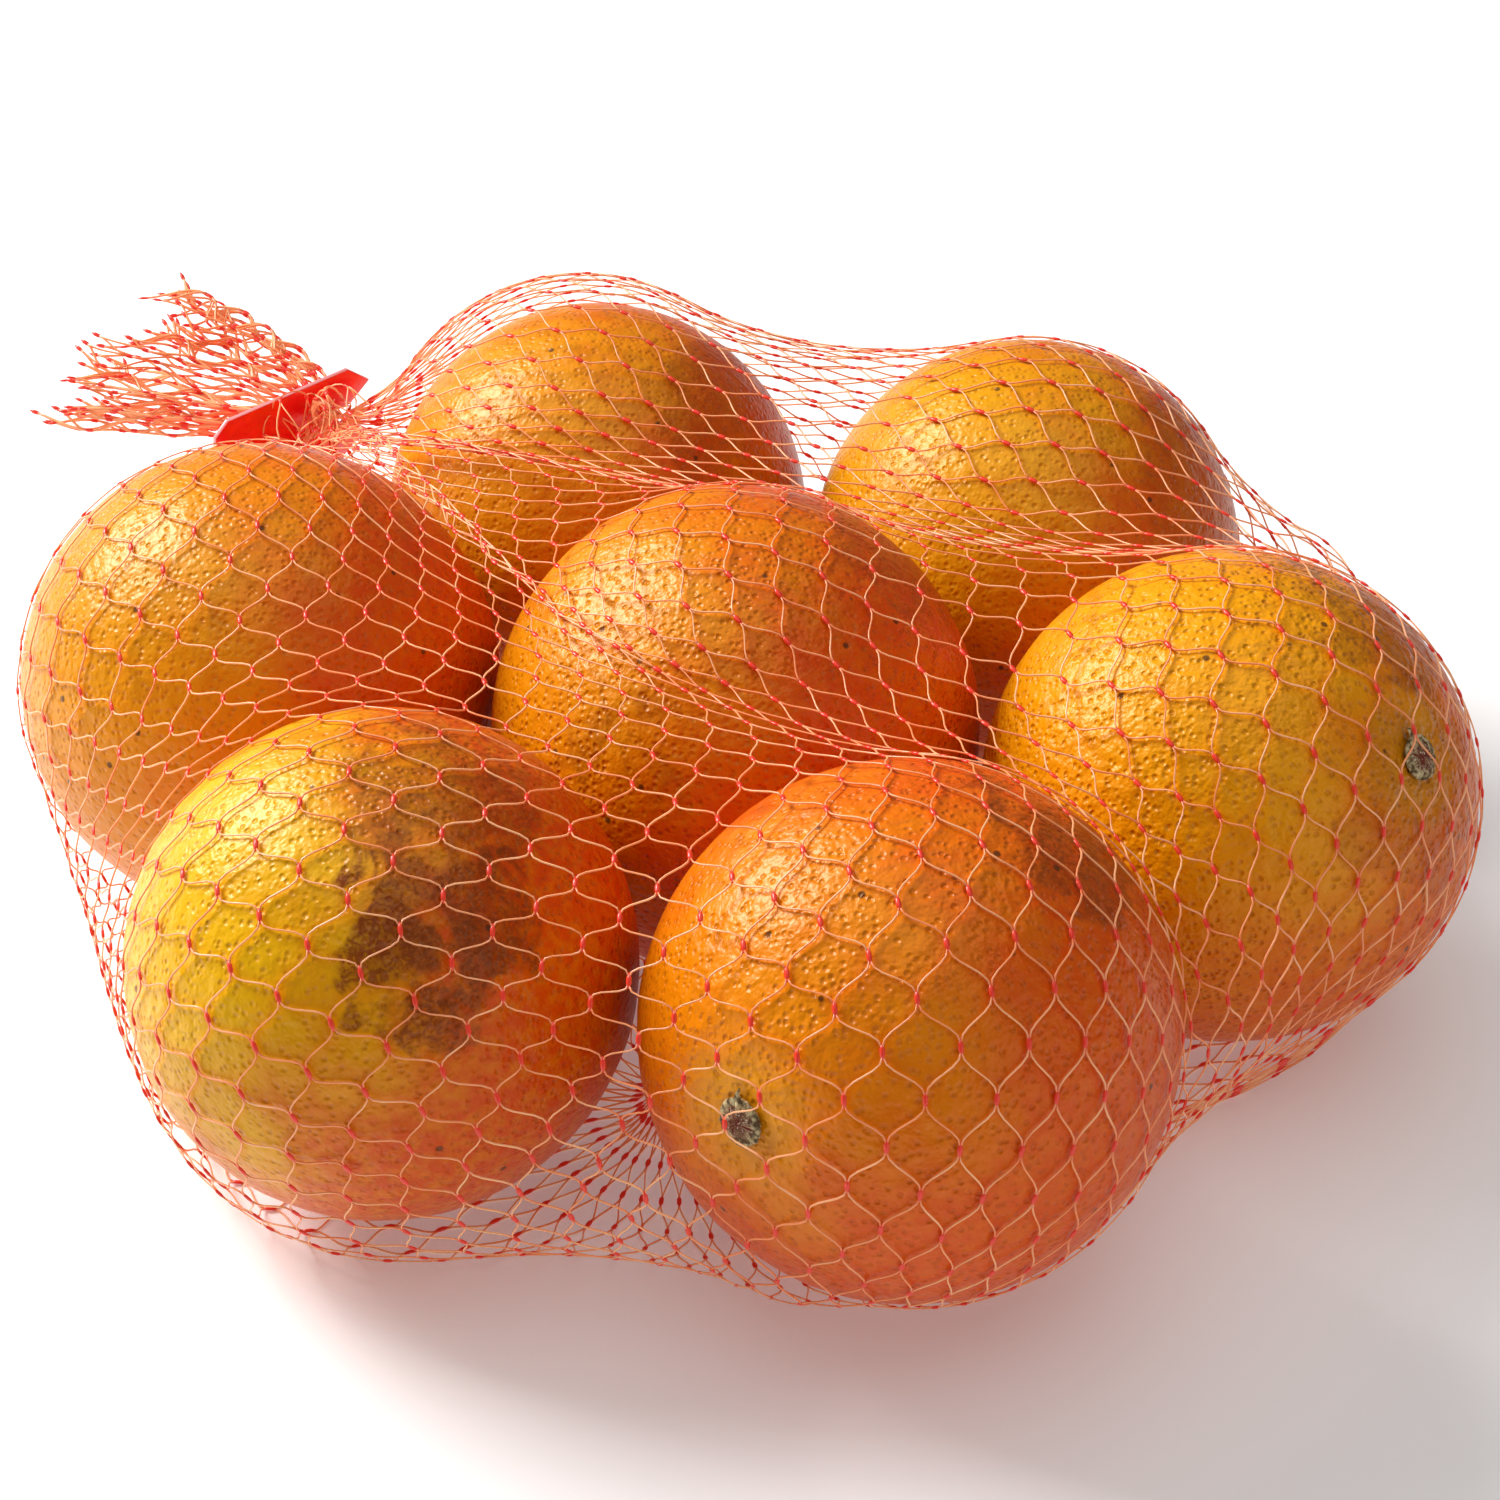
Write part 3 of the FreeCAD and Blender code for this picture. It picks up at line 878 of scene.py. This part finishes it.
clip = frame["nodes"]["end_clip"]
clip.data.materials.clear()
clip.data.materials.append(crimped_aluminium())


# ---- Table, lights and camera -------------------------------------------------------
# A plain white table, a bright square light from the back left, a broad soft one
# overhead, a weak one from the front right, and the camera in front, looking down.

CAMERA_AT = Vector((0.0, -466.69 * mm, 356.44 * mm))
CAMERA_DOWN = 34.07354
VIEW_ANGLE = 27.06

table = start_piece("table", bpy.ops.mesh.primitive_plane_add, size=6)
white, tree, shader = new_material("white_light_table", Roughness=0.55, Emission_Strength=0.16)
surface = add_node(tree, "TexCoord").outputs["Object"]
cloud = add_node(tree, "TexNoise", {"Vector": surface, "Scale": 4.0}).outputs["Fac"]
tabletop = mix_colours(tree, cloud, linear("#F4F3F2"), linear("#F8F7F6"))
tree.links.new(tabletop, shader.inputs["Base Color"])
shader.inputs["Emission Color"].default_value = linear("#FFFFFF")
table.data.materials.append(white)


def area_light(name, place, aim, size, power, colour):
    """A square soft light at a place, aimed at a point."""
    bpy.ops.object.light_add(type="AREA", location=place)
    light = bpy.context.active_object
    light.name = name
    light.data.size = size
    light.data.energy = power
    light.data.color = linear(colour)[:3]
    light.rotation_mode = "QUATERNION"
    light.rotation_quaternion = (Vector(place) - Vector(aim)).to_track_quat("Z", "Y")


AIM = (0, 0, 0.04)
area_light("key", (-0.86, 0.47, 0.78), AIM, 0.58, 23, "#FFFFFF")
area_light("overhead", (0.10, -0.15, 1.60), AIM, 1.7, 8, "#FFFFFF")
area_light("card_right", (0.80, -0.80, 0.35), AIM, 0.7, 1.6, "#FFFAF6")

world = bpy.data.worlds.new("studio")
world.use_nodes = True
background = world.node_tree.nodes["Background"]
background.inputs["Color"].default_value = linear("#FFFFFF")
background.inputs["Strength"].default_value = 0.13
bpy.context.scene.world = world
bpy.context.scene.view_settings.view_transform = "Standard"

bpy.ops.object.camera_add(location=CAMERA_AT, rotation=(math.radians(90 - CAMERA_DOWN), 0, 0))
camera = bpy.context.active_object
camera.data.angle = math.radians(VIEW_ANGLE)
camera.data.clip_start = 0.01
bpy.context.scene.camera = camera
